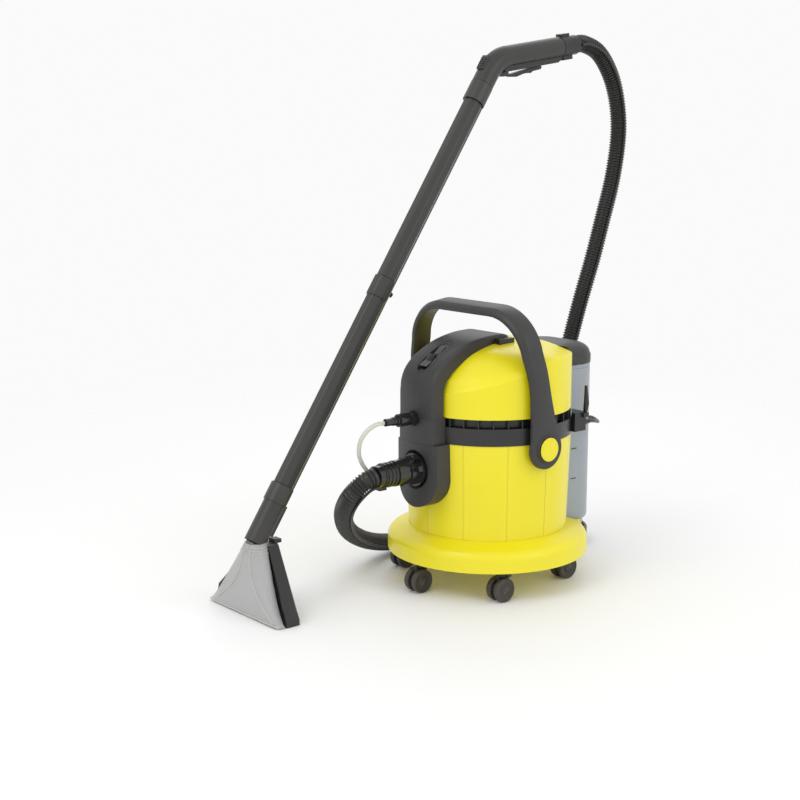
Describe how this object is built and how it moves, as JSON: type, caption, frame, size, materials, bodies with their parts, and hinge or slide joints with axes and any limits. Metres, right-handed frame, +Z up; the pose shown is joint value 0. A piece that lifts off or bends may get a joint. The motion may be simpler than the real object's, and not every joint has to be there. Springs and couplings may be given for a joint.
{
  "type": "canister spray extraction cleaner",
  "caption": "Round wet canister on castors with a domed motor head, arched carrying handle, rear water tank, suction hose, power cord and a floor wand with a clear spray nozzle.",
  "frame": {"origin": "on the floor, under the axis of the round drum", "axes": "+Z up, -Y towards the front of the machine where the hose joins, +X to the machine's left as it faces a viewer"},
  "size_m": [0.4395, 0.9842, 1.0416],
  "materials": {
    "yellow_shell": "moulded, satin-gloss",
    "dark_grey_plastic": "fine-grained moulding",
    "black_plastic": "smooth moulding",
    "hose_plastic": "flexible corrugated plastic",
    "clear_plastic": "clear moulding",
    "tank_plastic": "translucent blow moulding",
    "grey_cord": "smooth flexible sheath",
    "motor_metal": "plated",
    "float_plastic": "smooth",
    "pump_body": "smooth",
    "caster_tread": "hard wheel"
  },
  "bodies": {
    "root": {"base_ring": "yellow_shell", "drum": "yellow_shell", "drum_panel": "dark_grey_plastic", "suction_port": "black_plastic", "hose_cuff": "black_plastic", "spray_clip": "black_plastic", "suction_hose": "hose_plastic", "spray_tube": "clear_plastic", "power_cord": "grey_cord", "cord_coil": "grey_cord", "power_plug": "black_plastic"},
    "head": {"head_cover": "yellow_shell", "head_panel": "dark_grey_plastic", "band_panel": "dark_grey_plastic", "head_band": "black_plastic", "vent_ribs": "black_plastic", "motor_plate": "black_plastic", "vacuum_motor": "motor_metal", "spray_pump": "pump_body", "float_cage": "black_plastic", "top_bar": "black_plastic", "coupling": "black_plastic", "cable_gland": "black_plastic", "cord_sleeve": "black_plastic", "rear_housing": "black_plastic", "switch_frame": "black_plastic", "pivot_pins": "dark_grey_plastic"},
    "float": {"float_ball": "float_plastic"},
    "vacuum_rocker": {"vacuum_switch": "black_plastic"},
    "spray_rocker": {"spray_switch": "black_plastic"},
    "handle": {"carry_handle": "dark_grey_plastic", "pivot_caps": "yellow_shell"},
    "tank": {"tank_shell": "tank_plastic"},
    "lid": {"tank_lid": "dark_grey_plastic"},
    "wand": {"nozzle_body": "black_plastic", "nozzle_hood": "clear_plastic", "nozzle_neck": "black_plastic", "lower_tube": "black_plastic", "upper_tube": "black_plastic", "tube_collar": "black_plastic", "grip_shell": "black_plastic", "grip_insert": "black_plastic", "grip_end": "black_plastic"},
    "trigger": {"spray_trigger": "black_plastic"},
    "lock": {"trigger_lock": "black_plastic"},
    "slider": {"air_slider": "black_plastic"},
    "latch": {"hood_latch": "black_plastic"},
    "button": {"tube_button": "black_plastic"},
    "caster_1": {"caster_fork_1": "black_plastic"},
    "wheels_1": {"caster_wheels_1": "caster_tread"},
    "caster_2": {"caster_fork_2": "black_plastic"},
    "wheels_2": {"caster_wheels_2": "caster_tread"},
    "caster_3": {"caster_fork_3": "black_plastic"},
    "wheels_3": {"caster_wheels_3": "caster_tread"},
    "caster_4": {"caster_fork_4": "black_plastic"},
    "wheels_4": {"caster_wheels_4": "caster_tread"},
    "caster_5": {"caster_fork_5": "black_plastic"},
    "wheels_5": {"caster_wheels_5": "caster_tread"}
  },
  "joints": [
    {"name": "head_lift", "type": "slide", "parent": "root", "child": "head", "axis": [0, 0, 1], "range_m": [0, 0.12]},
    {"name": "handle_swing", "type": "hinge", "parent": "head", "child": "handle", "pos_m": [0, -0.014, 0.28], "axis": [1, 0, 0], "range_deg": [0, 50]},
    {"name": "float_rise", "type": "slide", "parent": "head", "child": "float", "axis": [0, 0, 1], "range_m": [0, 0.012]},
    {"name": "vacuum_rock", "type": "hinge", "parent": "head", "child": "vacuum_rocker", "pos_m": [0, -0.1527, 0.435], "axis": [1, 0, 0], "range_deg": [-7, 7]},
    {"name": "spray_rock", "type": "hinge", "parent": "head", "child": "spray_rocker", "pos_m": [0, -0.1527, 0.435], "axis": [1, 0, 0], "range_deg": [-7, 7]},
    {"name": "tank_lift", "type": "slide", "parent": "root", "child": "tank", "axis": [0, 0, 1], "range_m": [0, 0.15]},
    {"name": "lid_open", "type": "hinge", "parent": "tank", "child": "lid", "pos_m": [0, 0.229, 0.4053], "axis": [-1, 0, 0], "range_deg": [0, 70]},
    {"name": "caster_1_swivel", "type": "hinge", "parent": "root", "child": "caster_1", "pos_m": [0, -0.16, 0.06], "axis": [0, 0, 1], "continuous": true},
    {"name": "caster_1_roll", "type": "hinge", "parent": "caster_1", "child": "wheels_1", "pos_m": [0, -0.176, 0.0225], "axis": [1, 0, 0], "continuous": true},
    {"name": "caster_2_swivel", "type": "hinge", "parent": "root", "child": "caster_2", "pos_m": [0.13856, -0.08, 0.06], "axis": [0, 0, 1], "continuous": true},
    {"name": "caster_2_roll", "type": "hinge", "parent": "caster_2", "child": "wheels_2", "pos_m": [0.13856, -0.096, 0.0225], "axis": [1, 0, 0], "continuous": true},
    {"name": "caster_3_swivel", "type": "hinge", "parent": "root", "child": "caster_3", "pos_m": [0.11314, 0.11314, 0.06], "axis": [0, 0, 1], "continuous": true},
    {"name": "caster_3_roll", "type": "hinge", "parent": "caster_3", "child": "wheels_3", "pos_m": [0.11314, 0.09714, 0.0225], "axis": [1, 0, 0], "continuous": true},
    {"name": "caster_4_swivel", "type": "hinge", "parent": "root", "child": "caster_4", "pos_m": [-0.11314, 0.11314, 0.06], "axis": [0, 0, 1], "continuous": true},
    {"name": "caster_4_roll", "type": "hinge", "parent": "caster_4", "child": "wheels_4", "pos_m": [-0.11314, 0.09714, 0.0225], "axis": [1, 0, 0], "continuous": true},
    {"name": "caster_5_swivel", "type": "hinge", "parent": "root", "child": "caster_5", "pos_m": [-0.13856, -0.08, 0.06], "axis": [0, 0, 1], "continuous": true},
    {"name": "caster_5_roll", "type": "hinge", "parent": "caster_5", "child": "wheels_5", "pos_m": [-0.13856, -0.096, 0.0225], "axis": [1, 0, 0], "continuous": true},
    {"name": "wand_swivel", "type": "hinge", "parent": "root", "child": "wand", "pos_m": [-0.1, 0.32, 1.02], "axis": [0, 0.989, 0.1478], "range_deg": [-20, 20]},
    {"name": "trigger_pull", "type": "hinge", "parent": "wand", "child": "trigger", "pos_m": [-0.1, 0.2176, 0.9752], "axis": [-1, 0, 0], "range_deg": [0, 3.5], "stiffness_Nm_per_rad": 0.3},
    {"name": "lock_slide", "type": "slide", "parent": "wand", "child": "lock", "axis": [0, 0.989, 0.1478], "range_m": [0, 0.003]},
    {"name": "air_slide", "type": "slide", "parent": "wand", "child": "slider", "axis": [0, 0.5592, 0.829], "range_m": [-0.009, 0.003]},
    {"name": "latch_open", "type": "hinge", "parent": "wand", "child": "latch", "pos_m": [-0.1, -0.436, 0.101], "axis": [-1, 0, 0], "range_deg": [0, 20]},
    {"name": "button_press", "type": "slide", "parent": "wand", "child": "button", "axis": [0, -0.829, 0.5592], "range_m": [0, 0.002], "stiffness_N_per_m": 300}
  ]
}
